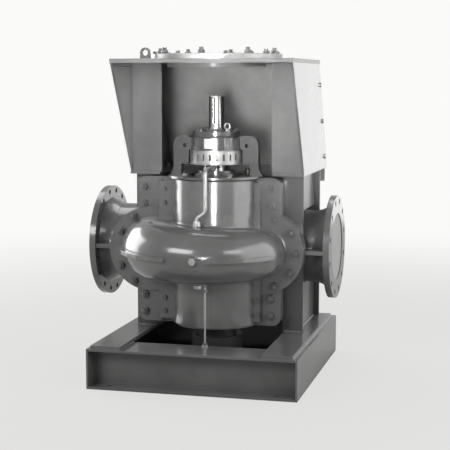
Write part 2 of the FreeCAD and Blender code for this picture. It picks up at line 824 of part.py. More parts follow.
def casing_rear():
    """The half that stays: flange, spiral throat, nozzles and feet."""
    body = new_body("casing_rear", y="shaft_y")
    split_flange(body, "rear_flange_thickness", backwards=True)
    profile = sketch_on(body, "XZ_Plane")
    chamber_profile(profile)
    revolve(body, profile, angle=180, backwards=False)
    suction_body(body)
    names = ("face_x", "flange_radius", "neck_radius", "bore_radius", "bolt_circle_radius")
    suction = ["suction_" + name for name in names]
    discharge = ["discharge_" + name for name in names]
    nozzle(body, -1, *suction, "suction_hole_radius", SUCTION_HOLES)
    back = "nozzle_y - shaft_y"
    sections = [volute_section(body, -180, "volute_end_reach", "volute_end_radius", "volute_end_rise")]
    half_way = "(volute_end_reach + %s + volute_throat_radius) / 2" % back
    middle_radius = "(volute_end_radius + volute_throat_radius) / 2"
    sections.append(volute_section(body, -225, half_way, middle_radius, "volute_end_rise / 2"))
    throat_reach = "%s + volute_throat_radius" % back
    sections.append(volute_section(body, -270, throat_reach, "volute_throat_radius", "0"))
    loft(body, sections)
    nozzle(body, 1, *discharge, "discharge_hole_radius", DISCHARGE_HOLES)
    gusset(body, -1, "suction_face_x")
    gusset(body, 1, "discharge_face_x")
    feet(body)
    shaft_passage(body)
    return body


def nozzle_cover(label, side, face, bore):
    """The disc that closes a nozzle until its pipe is fitted."""
    disc = document.addObject("Part::Cylinder", label)
    rotation = FreeCAD.Rotation(FreeCAD.Vector(0, 1, 0), 90)
    disc.Placement = FreeCAD.Placement(FreeCAD.Vector(), rotation)
    bind(disc, Radius=bore + " - 0.5", Height="nozzle_cover_thickness")
    if side > 0:
        start = "%s - nozzle_cover_setback - nozzle_cover_thickness" % face
    else:
        start = "nozzle_cover_setback - %s" % face
    bind(disc, Placement__Base__x=start, Placement__Base__y="nozzle_y")
    bind(disc, Placement__Base__z="casing_middle_height")
    return keep(disc, label)


# The bearings and seals round the shaft
def turned(label, corners):
    """A piece turned about the shaft, from radius and height pairs."""
    body = new_body(label, y="shaft_y")
    section = sketch_on(body, "XZ_Plane")
    polygon(section, corners)
    revolve(body, section)
    return body


WINDOW_TOP = "(%s) + lantern_window_height" % CASING_TOP
GUARD_TOP = "%s + guard_height" % WINDOW_TOP
HOUSING_TOP = "%s + housing_height" % GUARD_TOP
CAP_TOP = "%s + cap_height" % HOUSING_TOP
COVER_TOP = "%s + cap_cover_height" % CAP_TOP
LOWER_CAP_TOP = "(%s) - lower_neck_height - lower_housing_height" % CASING_BOTTOM
SHAFT_BOTTOM = "%s - lower_cap_height + lower_cap_floor + shaft_end_gap" % LOWER_CAP_TOP
FREE_BORE = "shaft_radius + bore_clearance"
FITTED_BORE = "shaft_radius + running_clearance"


def bearing_lantern():
    """The open bracket that carries the upper bearing: a ring foot and two arms."""
    foot_top = "(%s) + lantern_foot_thickness" % CASING_TOP
    corners = [("lantern_foot_bore_radius", CASING_TOP), ("lantern_foot_radius", CASING_TOP)]
    corners += [("lantern_foot_radius", foot_top), ("lantern_foot_bore_radius", foot_top)]
    body = turned("bearing_lantern", corners)
    root = "%s - arm_root" % foot_top
    head = "%s - arm_corner" % HOUSING_TOP
    corner = "arm_reach - arm_corner"
    corners = [("arm_gap", root), ("arm_reach + arm_flare", root), ("arm_reach + arm_flare", foot_top)]
    corners += [("arm_reach + arm_flare / 3", "%s + 0.4 * arm_flare_height" % foot_top)]
    corners += [("arm_reach", "%s + arm_flare_height" % foot_top)]
    corners += rounded(corner, head, "arm_corner", 0)
    corners += [("arm_shoulder_gap", HOUSING_TOP), ("arm_shoulder_gap", WINDOW_TOP)]
    corners += [("arm_gap", WINDOW_TOP)]
    mirrored = [("-(%s)" % x, z) for x, z in reversed(corners)]
    for outline in (corners, mirrored):
        arm = sketch_on(body, "XZ_Plane")
        polygon(arm, outline)
        pad(body, arm, "arm_depth", symmetric=True)
    for x in ("arm_hole_x", "-arm_hole_x"):
        hole = sketch_on(body, "XZ_Plane")
        circle(hole, x, "%s - arm_hole_drop" % HOUSING_TOP, "arm_hole_radius")
        pocket(body, hole, "arm_depth + 2", symmetric=True)
    return body


def guard_ring():
    """The slotted ring that hangs under the bearing housing, between the arms."""
    inner = "guard_radius - guard_wall"
    corners = [(inner, WINDOW_TOP), ("guard_radius", WINDOW_TOP)]
    corners += [("guard_radius", GUARD_TOP), (inner, GUARD_TOP)]
    body = turned("guard_ring", corners)
    slot = sketch_on(body, "XZ_Plane")
    middle = "%s + guard_height / 2" % WINDOW_TOP
    bottom = "%s - guard_slot_height / 2" % middle
    top = "%s + guard_slot_height / 2" % middle
    rectangle(slot, "-guard_slot_width / 2", "guard_slot_width / 2", bottom, top)
    cut = pocket(body, slot, "guard_radius + 1", backwards=True)
    document.recompute()
    pattern = body.newObject("PartDesign::PolarPattern", "PolarPattern")
    pattern.Originals = [cut]
    pattern.Axis = (slot, ["V_Axis"])
    pattern.Angle = 360
    pattern.Occurrences = GUARD_SLOTS
    body.Tip = pattern
    return body


def bearing_housing():
    """The round housing of the upper bearing, with an ear on each side for the arms."""
    edge = "%s - housing_edge" % HOUSING_TOP
    corners = [(FITTED_BORE, GUARD_TOP), ("housing_radius", GUARD_TOP), ("housing_radius", edge)]
    corners += [("housing_radius - housing_edge", HOUSING_TOP), (FITTED_BORE, HOUSING_TOP)]
    body = turned("bearing_housing", corners)
    for side in (-1, 1):
        ear = sketch_on(body, "XZ_Plane")
        left, right = span(side, "housing_radius - 2 * housing_edge", "arm_shoulder_gap")
        rectangle(ear, left, right, GUARD_TOP, edge)
        pad(body, ear, "arm_depth", symmetric=True)
    return body


def bearing_cap():
    """The cap over the upper bearing, with its raised cover round the shaft."""
    corners = [(FREE_BORE, HOUSING_TOP), ("cap_radius", HOUSING_TOP), ("cap_radius", CAP_TOP)]
    corners += [("cap_cover_radius", CAP_TOP), ("cap_cover_radius", COVER_TOP)]
    corners += [(FREE_BORE, COVER_TOP)]
    return turned("bearing_cap", corners)


def stuffing_gland():
    """The stuffing box neck and the gland flange on it."""
    neck_top = "(%s) + stuffing_box_height" % CASING_TOP
    flange_top = "%s + gland_thickness" % neck_top
    sleeve_top = "%s + gland_sleeve_height" % flange_top
    corners = [(FREE_BORE, CASING_TOP), ("stuffing_box_radius", CASING_TOP)]
    corners += [("stuffing_box_radius", neck_top), ("gland_radius", neck_top)]
    corners += [("gland_radius", flange_top), ("gland_sleeve_radius", flange_top)]
    corners += [("gland_sleeve_radius", sleeve_top), (FREE_BORE, sleeve_top)]
    return turned("stuffing_gland", corners)


def lower_bearing_housing():
    """The neck and housing of the lower bearing, hung under the casing."""
    neck = "(%s) - lower_neck_height" % CASING_BOTTOM
    bottom = "%s - lower_housing_height" % neck
    corners = [(FITTED_BORE, bottom), ("lower_housing_radius", bottom)]
    corners += [("lower_housing_radius", neck), ("lower_neck_radius", neck)]
    corners += [("lower_neck_radius", CASING_BOTTOM), (FITTED_BORE, CASING_BOTTOM)]
    return turned("lower_bearing_housing", corners)


def lower_bearing_cap():
    """The cap that closes the lower bearing from below."""
    top = LOWER_CAP_TOP
    bottom = "%s - lower_cap_height" % top
    floor = "%s + lower_cap_floor" % bottom
    corners = [("0", bottom), ("lower_cap_radius", bottom), ("lower_cap_radius", top)]
    corners += [(FREE_BORE, top), (FREE_BORE, floor), ("0", floor)]
    return turned("lower_bearing_cap", corners)


# The turning parts
def shaft():
    """The shaft, stepped where it leaves the cap, with the keyway for the coupling."""
    body = new_body("shaft", y="shaft_y")
    section = sketch_on(body, "XZ_Plane")
    step = "%s + shaft_step_height" % COVER_TOP
    corners = [("0", SHAFT_BOTTOM), ("shaft_radius - shaft_end_chamfer", SHAFT_BOTTOM)]
    corners += [("shaft_radius", "%s + shaft_end_chamfer" % SHAFT_BOTTOM)]
    corners += [("shaft_radius", step), ("shaft_end_radius", step)]
    corners += [("shaft_end_radius", "shaft_top_height - shaft_end_chamfer")]
    corners += [("shaft_end_radius - shaft_end_chamfer", "shaft_top_height")]
    corners += [("0", "shaft_top_height")]
    polygon(section, corners)
    revolve(body, section)
    keyway = sketch_on(body, "XZ_Plane", "shaft_end_radius - keyway_depth", turn=KEYWAY_TURN)
    high = "shaft_top_height - keyway_end_gap"
    rectangle(keyway, "-keyway_width / 2", "keyway_width / 2", "%s - keyway_length" % high, high)
    pocket(body, keyway, "keyway_depth + 1", backwards=True)
    return body


# The small pipework on the front of the casing
def size(name):
    """A size as the sheet holds it."""
    return sheet.get(name)


def tube_along(points, bend, radius):
    """A round bar along straight runs, turned about a centre at each corner."""
    pieces = []
    start = points[0]
    for before, corner, after in zip(points, points[1:], points[2:]):
        back = (before - corner).normalize()
        ahead = (after - corner).normalize()
        turn = math.pi - back.getAngle(ahead)
        cut = bend * math.tan(turn / 2)
        enter = corner + back * cut
        centre = corner + (back + ahead).normalize() * (bend / math.cos(turn / 2))
        pieces.append(Part.makeCylinder(radius, (enter - start).Length, start, enter - start))
        disc = Part.Face(Part.Wire(Part.makeCircle(radius, enter, enter - start)))
        axis = (-back).cross(ahead)
        pieces.append(disc.revolve(centre, axis, math.degrees(turn)))
        start = corner + ahead * cut
    last = points[-1] - start
    pieces.append(Part.makeCylinder(radius, last.Length, start, last))
    return pieces[0].fuse(pieces[1:]).removeSplitter()


def flush_pipe():
    """The flushing pipe from the gland down to the top of the spiral."""
    x = size("flush_pipe_x")
    y = size("flush_pipe_y")
    height = size("flush_pipe_height")
    front_radius = (size("volute_start_radius") + size("volute_end_radius")) / 2
    front_rise = (size("volute_end_rise") - size("volute_start_drop")) / 2
    seat = size("casing_middle_height") + front_rise + front_radius + size("boss_proud")
    sleeve = size("gland_sleeve_radius") + 1
    axis = FreeCAD.Vector(0, size("shaft_y"), height)
    corner = FreeCAD.Vector(x, y, height)
    start = axis + (corner - axis).normalize() * sleeve
    end = FreeCAD.Vector(size("flush_foot_x"), y, seat)
    knee = end + FreeCAD.Vector(0, 0, size("flush_foot_length"))
    elbow = FreeCAD.Vector(x, y, knee.z + size("flush_knee_length"))
    run = [start, corner, elbow, knee, end]
    tube = tube_along(run, size("flush_pipe_bend"), size("flush_pipe_radius"))
    radius = size("flush_nut_radius")
    length = size("flush_nut_length")
    lower_nut = Part.makeCylinder(radius, length, end)
    upper_nut = Part.makeCylinder(radius, length, start, corner - start)
    feature = document.addObject("Part::Feature", "FlushPipe")
    feature.Shape = tube.fuse([lower_nut, upper_nut])
    return keep(feature, "flush_pipe")


def drain_pipe():
    """The thin drain under the spiral, standing on the front beam."""
    foot = document.addObject("Part::Cylinder", "DrainFoot")
    bind(foot, Radius="drain_foot_radius", Height="drain_foot_thickness")
    tube = document.addObject("Part::Cylinder", "DrainTube")
    bind(tube, Radius="drain_pipe_radius", Height="%s - beam_height" % VOLUTE_SEAT_LOW)
    for item in (foot, tube):
        bind(item, Placement__Base__x="drain_pipe_x", Placement__Base__y="drain_pipe_y")
        bind(item, Placement__Base__z="beam_height")
    whole = document.addObject("Part::Fuse", "DrainPipe")
    whole.Base = foot
    whole.Tool = tube
    return keep(whole, "drain_pipe")


def casing_plug(label, x, y, z, turn):
    """A six sided plug screwed into one of the spiral's bosses."""
    plug = document.addObject("Part::Prism", label)
    plug.Polygon = 6
    plug.Placement = FreeCAD.Placement(FreeCAD.Vector(), FreeCAD.Rotation(FreeCAD.Vector(1, 0, 0), turn))
    bind(plug, Circumradius="plug_across / 2 / cos(30 deg)", Height="plug_length")
    bind(plug, Placement__Base__x=x, Placement__Base__y=y, Placement__Base__z=z)
    return keep(plug, label)


base_cross_beam("base_front_beam", -1)
base_cross_beam("base_rear_beam", 1)
for name, hand in (("left", -1), ("right", 1)):
    base_side_channel("base_channel_" + name, hand)
    sole_plate("sole_plate_" + name, hand)
    column("column_" + name, hand)
    rear_post("rear_post_" + name, hand)
    stool_seat("stool_seat_" + name, hand)
    stool_side("stool_side_" + name, hand)
    stool_front("stool_front_" + name, hand)
rear_rail("rear_rail_lower", "lower_rail_height")
rear_rail("rear_rail_upper", "upper_rail_height")
stool_back()
stool_top()
motor_ring()
motor_studs()
lifting_lug("lifting_lug_left", "lug_left_x", "lug_left_y")
lifting_lug("lifting_lug_right", "lug_right_x", "lug_right_y")
casing_front()
casing_rear()
nozzle_cover("suction_cover", -1, "suction_face_x", "suction_bore_radius")
nozzle_cover("discharge_cover", 1, "discharge_face_x", "discharge_bore_radius")
bearing_lantern()
guard_ring()
bearing_housing()
bearing_cap()
stuffing_gland()
lower_bearing_housing()
lower_bearing_cap()
shaft()
flush_pipe()
drain_pipe()
front_plug_y = "shaft_y - (%s)" % VOLUTE_SEAT_FRONT
casing_plug("vent_plug", "front_plug_x", front_plug_y, "casing_middle_height", 90)
casing_plug("drain_plug", "lower_plug_x", "lower_plug_y", VOLUTE_SEAT_LOW, 180)

document.recompute()

# Every object has to be sound before anything is written
for item in document.Objects:
    for fault in ("Invalid", "Error"):
        if fault in item.State:
            raise RuntimeError("%s is %s" % (item.Label, fault))
for piece in sub_parts:
    shape = piece.Shape
    if shape.isNull() or not shape.isValid():
        raise RuntimeError("%s has no sound shape" % piece.Label)

os.makedirs("parts", exist_ok=True)
for piece in sub_parts:
    piece.Shape.exportStep("parts/%s.step" % piece.Label)
    box = piece.Shape.BoundBox
    corners = (box.XMin, box.XMax, box.YMin, box.YMax, box.ZMin, box.ZMax)
    count = len(piece.Shape.Solids)
    print("%-24s solids %d  x %.0f %.0f  y %.0f %.0f  z %.0f %.0f" % ((piece.Label, count) + corners))
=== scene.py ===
"""Looks of an upright split case pump in its steel frame, with a stool for a motor on top.

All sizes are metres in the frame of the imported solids: +X runs to the discharge nozzle,
+Y to the back and +Z up along the shaft.
"""
import json
import math
from collections import namedtuple

import bpy
import numpy as np
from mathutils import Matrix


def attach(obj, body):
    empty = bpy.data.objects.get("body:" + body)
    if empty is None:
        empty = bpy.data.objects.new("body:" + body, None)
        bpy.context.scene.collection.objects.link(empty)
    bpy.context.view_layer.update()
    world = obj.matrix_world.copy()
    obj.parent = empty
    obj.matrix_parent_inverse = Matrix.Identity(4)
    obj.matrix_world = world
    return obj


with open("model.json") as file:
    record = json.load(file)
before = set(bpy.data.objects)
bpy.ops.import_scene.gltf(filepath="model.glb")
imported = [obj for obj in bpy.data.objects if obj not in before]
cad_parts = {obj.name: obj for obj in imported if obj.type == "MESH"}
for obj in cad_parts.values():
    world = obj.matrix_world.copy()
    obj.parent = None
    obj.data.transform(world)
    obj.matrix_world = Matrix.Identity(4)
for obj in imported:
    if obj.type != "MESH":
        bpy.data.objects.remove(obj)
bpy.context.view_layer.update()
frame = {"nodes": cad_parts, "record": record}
nodes = frame["nodes"]
ROOT = "frame_and_casing"


# Shader values

# The colour Mix node's sockets share their names, so they go by number
MIX_SHARE, MIX_FIRST, MIX_SECOND, MIX_RESULT = 0, 6, 7, 2


class Shade:
    """An output socket that takes part in sums: every operator adds one Math node."""

    def __init__(self, tree, socket=None):
        self.tree = tree
        self.socket = socket

    def node(self, kind, settings=None, sockets=None, output=0):
        """A new node of that kind, its settings first and then its sockets' values or links."""
        made = self.tree.nodes.new(kind)
        for name, value in (settings or {}).items():
            setattr(made, name, value)
        for key, value in (sockets or {}).items():
            if isinstance(value, Shade):
                self.tree.links.new(value.socket, made.inputs[key])
            else:
                made.inputs[key].default_value = value
        return Shade(self.tree, made.outputs[output]) if len(made.outputs) else made

    def maths(self, operation, *values):
        return self.node("ShaderNodeMath", {"operation": operation}, dict(enumerate(values)))

    def __add__(self, other):
        return self.maths("ADD", self, other)

    __radd__ = __add__

    def __sub__(self, other):
        return self.maths("SUBTRACT", self, other)

    def __rsub__(self, other):
        return self.maths("SUBTRACT", other, self)

    def __mul__(self, other):
        return self.maths("MULTIPLY", self, other)

    __rmul__ = __mul__

    def between(self, low, high):
        """0 below low, 1 above high and a smooth step between them."""
        return self.node(
            "ShaderNodeMapRange", {"interpolation_type": "SMOOTHSTEP"},
            {"Value": self, "From Min": low, "From Max": high})

    def place(self):
        """Where a point lies in its own piece."""
        return self.node("ShaderNodeTexCoord", output="Object")

    def ray(self, kind):
        """1 on rays of that kind and 0 on the others."""
        return self.node("ShaderNodeLightPath", output=kind)

    def noise(self, place, scale, detail=3.0, rough=0.55):
        """Cloudy noise from 0 to 1 with that many clouds to a metre."""
        return self.node(
            "ShaderNodeTexNoise", {"noise_dimensions": "3D"},
            {"Vector": place, "Scale": scale, "Detail": detail, "Roughness": rough})

    def tint(self, mask, bare, covered):
        """The colour bare where the mask is 0 and covered where it is 1."""
        return self.node(
            "ShaderNodeMix", {"data_type": "RGBA"},
            {MIX_SHARE: mask, MIX_FIRST: bare, MIX_SECOND: covered}, MIX_RESULT)

    def stretched(self, place, factors):
        """A place whose coordinates are each multiplied by a factor."""
        return self.node("ShaderNodeVectorMath", {"operation": "MULTIPLY"}, {0: place, 1: factors})

    def bump(self, strength, distance, **sockets):
        """The normal of a surface raised by a height from 0 to 1 times that distance."""
        return self.node("ShaderNodeBump", None, {"Strength": strength, "Distance": distance, **sockets})

    def mixed(self, share, first, second):
        """One shader where the share is 0 and the other where it is 1."""
        return self.node("ShaderNodeMixShader", None, {0: share, 1: first, 2: second})


def new_finish(name):
    """An empty material and the start of its values."""
    material = bpy.data.materials.new(name)
    material.use_nodes = True
    material.node_tree.nodes.clear()
    return material, Shade(material.node_tree)


def gray(value):
    """A gray with a faint warm cast."""
    return (value, value, value * 0.99, 1.0)


def put_out(start, surface):
    """The surface as the material's output."""
    start.node("ShaderNodeOutputMaterial", None, {"Surface": surface})


# Finishes

# The lean of the rounded normal from the flat one where an edge begins to show, and where it is full
EDGE_BEGINS, EDGE_FULL = 0.01, 0.12


def edge_mask(start, radius):
    """1 on the edges, and the normal rounded over them.

    The mask is 1 minus the product of the rounded and the flat normal, as a smooth step.
    """
    rounded = start.node("ShaderNodeBevel", {"samples": 6}, {"Radius": radius})
    flat = start.node("ShaderNodeNewGeometry", output="Normal")
    product = start.node(
        "ShaderNodeVectorMath", {"operation": "DOT_PRODUCT"}, {0: rounded, 1: flat}, "Value")
    return (1 - product).between(EDGE_BEGINS, EDGE_FULL), rounded


def enamel(name, tone, roughness, cast, edge_radius, gloss):
    """Machine enamel: clouded tone, painted shade that darkens the hollows, thin bright edges that are
    partly rubbed paint and partly painted highlight, and a cast or rolled skin.

    cast is the number of humps in the skin to a metre, and gloss the weight of the clear coat.
    """
    material, start = new_finish(name)
    place = start.place()
    clouds = start.noise(place, scale=5.0, detail=4.0)
    specks = start.noise(place, scale=190.0, detail=2.0)
    open_share = start.node(
        "ShaderNodeAmbientOcclusion", {"samples": 6, "inside": False}, {"Distance": 0.09}, "AO")
    hollow = 1 - open_share
    edges, rounded = edge_mask(start, edge_radius)
    lighter = gray(tone * 1.14)
    darker = gray(tone * 0.82)
    hollow_shade_colour = gray(tone * 0.42)
    # Edges lighten to 2.4 times the tone in specks: partly rubbed paint, partly painted highlight.
    rubbed_and_highlit = gray(min(tone * 2.4, 0.7))
    paint = start.tint(clouds.between(0.3, 0.7), darker, lighter)
    # Painted shade: where the occlusion finds hollows the colour darkens towards 0.42 of the tone.
    hollow_shaded = start.tint(hollow.between(0.25, 0.85), paint, hollow_shade_colour)
    worn_and_painted_light = start.tint(edges * specks.between(0.35, 0.6) * 0.55, hollow_shaded, rubbed_and_highlit)
    coarse_skin = start.noise(place, scale=cast)
    fine_skin = start.noise(place, scale=cast * 4.2, detail=2.0)
    skin = coarse_skin * 0.7 + fine_skin * 0.3
    shader = start.node("ShaderNodeBsdfPrincipled", None, {
        "Base Color": worn_and_painted_light,
        "Roughness": roughness + (clouds - 0.5) * 0.16 + hollow * 0.15,
        "Normal": start.bump(0.22, 0.0016, Height=skin, Normal=rounded),
        "Coat Weight": gloss, "Coat Roughness": 0.12, "IOR": 1.5})
    put_out(start, shader)
    return material


def bright_metal(name, tone, roughness, stretch):
    """Machined steel: fine tool marks, drawn out along the cut, faint stains, and lighter edges that are
    partly rubbed steel and partly painted highlight.
    """
    material, start = new_finish(name)
    place = start.place()
    marks = start.noise(start.stretched(place, stretch), scale=60.0, detail=4.0)
    stains = start.noise(place, scale=14.0, detail=4.0)
    edges, rounded = edge_mask(start, radius=0.0012)
    stained = gray(tone * 0.72)
    # Edges lighten to 1.35 times the tone: partly rubbed steel, partly painted highlight.
    rubbed_and_highlit = gray(min(tone * 1.35, 0.9))
    metal = start.tint(stains.between(0.35, 0.75), gray(tone), stained)
    finished = start.tint(edges * 0.6, metal, rubbed_and_highlit)
    shader = start.node("ShaderNodeBsdfPrincipled", None, {
        "Base Color": finished, "Metallic": 1.0,
        "Roughness": roughness + (marks - 0.5) * 0.2 + (stains - 0.5) * 0.15,
        "Normal": start.bump(0.25, 0.0006, Height=marks, Normal=rounded)})
    put_out(start, shader)
    return material


def board(name, tone):
    """Matt pale board over a nozzle, a little grained and soiled."""
    material, start = new_finish(name)
    place = start.place()
    grain = start.noise(start.stretched(place, (1.0, 1.0, 9.0)), scale=22.0, detail=5.0)
    soil = start.noise(place, scale=9.0, detail=4.0)
    colour = start.tint(grain.between(0.3, 0.75), gray(tone), gray(tone * 0.84))
    soiled = start.tint(soil.between(0.5, 0.8) * 0.4, colour, gray(tone * 0.6))
    shader = start.node("ShaderNodeBsdfPrincipled", None, {
        "Base Color": soiled,
        "Roughness": 0.7 + (grain - 0.5) * 0.2,
        "Normal": start.bump(0.2, 0.0008, Height=grain)})
    put_out(start, shader)
    return material


casing_enamel = enamel(
    "casing_enamel", tone=0.12, roughness=0.24, cast=45.0, edge_radius=0.004, gloss=0.8)
bearing_enamel = enamel(
    "bearing_enamel", tone=0.065, roughness=0.26, cast=60.0, edge_radius=0.003, gloss=0.9)
frame_enamel = enamel(
    "frame_enamel", tone=0.11, roughness=0.34, cast=16.0, edge_radius=0.002, gloss=0.5)
# Painted shade: a darker copy of the frame's enamel for the columns and rear posts.
shaded_column_enamel = enamel(
    "shaded_column_enamel", tone=0.07, roughness=0.36, cast=16.0, edge_radius=0.002, gloss=0.4)
# Painted shadow: a near black copy of the enamel for the lower bearing housing and its cap.
painted_shadow_enamel = enamel(
    "painted_shadow_enamel", tone=0.03, roughness=0.4, cast=60.0, edge_radius=0.002, gloss=0.1)
stool_enamel = enamel(
    "stool_enamel", tone=0.125, roughness=0.3, cast=12.0, edge_radius=0.002, gloss=0.8)
# Painted light: a much lighter copy of the stool's enamel for the stool's back sheet.
painted_light_inner_enamel = enamel(
    "painted_light_inner_enamel", tone=0.3, roughness=0.4, cast=12.0, edge_radius=0.002, gloss=0.4)
# Painted light: a lighter copy of the stool's enamel for its top plate.
painted_light_lid_enamel = enamel(
    "painted_light_lid_enamel", tone=0.2, roughness=0.45, cast=12.0, edge_radius=0.002, gloss=0.3)
fastener_enamel = enamel(
    "fastener_enamel", tone=0.09, roughness=0.28, cast=90.0, edge_radius=0.001, gloss=0.6)
shaft_steel = bright_metal("shaft_steel", tone=0.66, roughness=0.22, stretch=(0.3, 0.3, 22.0))
ring_steel = bright_metal("ring_steel", tone=0.42, roughness=0.42, stretch=(1.0, 1.0, 30.0))
pale_plate = bright_metal("pale_plate", tone=0.85, roughness=0.35, stretch=(1.0, 1.0, 1.0))
pale_board = board("pale_board", tone=0.34)

FINISHES = {
    "casing_paint": casing_enamel,
    "frame_paint": frame_enamel,
    "stool_paint": stool_enamel,
    "bright_steel": ring_steel,
    "cover_board": pale_board,
}
NODE_FINISHES = {
    "shaft": shaft_steel,
    "stool_top": painted_light_lid_enamel,
    "stool_back": painted_light_inner_enamel,
    "column_left": shaded_column_enamel,
    "column_right": shaded_column_enamel,
    "rear_post_left": shaded_column_enamel,
    "rear_post_right": shaded_column_enamel,
    "lower_bearing_housing": painted_shadow_enamel,
    "lower_bearing_cap": painted_shadow_enamel,
    "motor_studs": fastener_enamel,
    "bearing_lantern": bearing_enamel,
    "bearing_housing": bearing_enamel,
    "bearing_cap": bearing_enamel,
    "stuffing_gland": bearing_enamel,
}
for part in frame["record"]["subparts"]:
    mesh = nodes[part["node"]].data
    mesh.materials.clear()
    mesh.materials.append(NODE_FINISHES.get(part["node"], FINISHES[part["material_slot"]]))


# Surfaces from arrays

UP = (0, 0, 1)
FORWARD = (0, -1, 0)


def new_object(name, data):
    """An object for that data, linked to the scene."""
    made = bpy.data.objects.new(name, data)
    bpy.context.scene.collection.objects.link(made)
    return made


def finish_mesh(name, points, faces, material, crease=35):
    """One piece from its points and faces, riding on the frame. It is smooth below the crease angle."""
    mesh = bpy.data.meshes.new(name)
    mesh.from_pydata(np.asarray(points).reshape(-1, 3).tolist(), [], faces)
    mesh.materials.append(material)
    mesh.validate()
    mesh.polygons.foreach_set("use_smooth", np.ones(len(mesh.polygons), dtype=bool))
    mesh.set_sharp_from_angle(angle=math.radians(crease))
    piece = new_object(name, mesh)
    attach(piece, ROOT)


def grid_faces(rows, columns, start=0):
    """Quads between the rows of a grid whose columns close on themselves, with both ends capped."""
    row = np.arange(rows - 1)[:, None] * columns + start
    column = np.arange(columns)[None, :]
    after = (column + 1) % columns
    quads = np.stack([row + column, row + after, row + columns + after, row + columns + column], -1)
    last = start + (rows - 1) * columns
    first_cap = list(range(start + columns - 1, start - 1, -1))
    last_cap = list(range(last, last + columns))
    return quads.reshape(-1, 4).tolist() + [first_cap, last_cap]


def full_turn(count):
    """Equal steps of the angle, once round."""
    return np.linspace(0, 2 * np.pi, count, endpoint=False)


def circle(direction, t):
    """Unit vectors at the angles t about a direction, right-handed, and its own unit vector.

    With side and up square to the direction and to each other, each is side cos t + up sin t.
    """
    ahead = np.asarray(direction, dtype=float)
    ahead = ahead / np.linalg.norm(ahead)
    nearly_upright = abs(ahead[2]) >= 0.9
    helper = np.array([1.0, 0.0, 0.0]) if nearly_upright else np.array([0.0, 0.0, 1.0])
    side = np.cross(helper, ahead)
    side /= np.linalg.norm(side)
    up = np.cross(ahead, side)
    return np.cos(t)[:, None] * side + np.sin(t)[:, None] * up, ahead


def turned(name, centre, direction, profile, material, count=48, crease=35):
    """A profile of (radius, height) carried round an axis.

    Its points are centre + radius * circle(t) + height * direction.
    """
    radius, height = np.asarray(profile, dtype=float).T
    ring, ahead = circle(direction, full_turn(count))
    points = np.asarray(centre) + radius[:, None, None] * ring + height[:, None, None] * ahead
    finish_mesh(name, points, grid_faces(len(profile), count), material, crease)


def joined(name, parts, material, crease=35):
    """Several grids of points in one mesh, each closed round and capped."""
    points, faces, start = [], [], 0
    for part in parts:
        rows, columns = part.shape[:2]
        faces += grid_faces(rows, columns, start)
        points.append(part.reshape(-1, 3))
        start += rows * columns
    finish_mesh(name, np.concatenate(points), faces, material, crease)


def rod(path, radii, count=16):
    """A straight round bar: at each point of its path a ring of that point's radius."""
    path = np.asarray(path, dtype=float)
    ring, ahead = circle(path[-1] - path[0], full_turn(count))
    return path[:, None] + radii[:, None, None] * ring


def torus(name, centre, direction, reach, bar, material):
    """A closed ring: a bar of one radius carried round a circle of another.

    Its points are centre + (reach + bar cos u) * circle(t) + bar sin u * direction.
    """
    rows, columns = 48, 16
    u = full_turn(columns)
    outward, ahead = circle(direction, full_turn(rows))
    radius = reach + bar * np.cos(u)
    points = (np.asarray(centre) + radius[None, :, None] * outward[:, None]
              + (bar * np.sin(u))[None, :, None] * ahead)
    row = np.arange(rows)[:, None]
    column = np.arange(columns)[None, :]
    row_after = (row + 1) % rows
    column_after = (column + 1) % columns
    quads = np.stack([row * columns + column, row_after * columns + column,
                      row_after * columns + column_after, row * columns + column_after], -1)
    finish_mesh(name, points, quads.reshape(-1, 4).tolist(), material)


# Nuts and screws

# Width across the flats, height, the stud's end above it and the washer's thickness under it
Nut = namedtuple("Nut", "across height stud washer", defaults=(0.0, 0.0))

FLANGE_NUT = Nut(0.030, 0.016, stud=0.008, washer=0.003)
SHOULDER_SCREW = Nut(0.018, 0.010, washer=0.002)
CAP_SCREW = Nut(0.016, 0.009, washer=0.0015)
COVER_SCREW = Nut(0.010, 0.006)
LANTERN_NUT = Nut(0.022, 0.012, stud=0.005, washer=0.002)
GLAND_NUT = Nut(0.018, 0.010, washer=0.002)
MOTOR_STUD_NUT = Nut(0.027, 0.013, washer=0.002)
RING_SCREW = Nut(0.017, 0.009, washer=0.0015)
SIDE_SCREW = Nut(0.017, 0.005, washer=0.0015)
SEAT_SCREW = Nut(0.024, 0.012, stud=0.004, washer=0.003)
LOW_UNION = Nut(0.028, 0.016, washer=0.004)
HIGH_UNION = Nut(0.023, 0.016)
LOCK_NUT = Nut(0.020, 0.012)
FOOT_NUT = Nut(0.018, 0.010)

# Radii as shares of half the width across the flats
WASHER_REACH = 1.25
CORNER_REACH = 1.12
STUD_REACH = 0.56
HEX_STEPS = 24


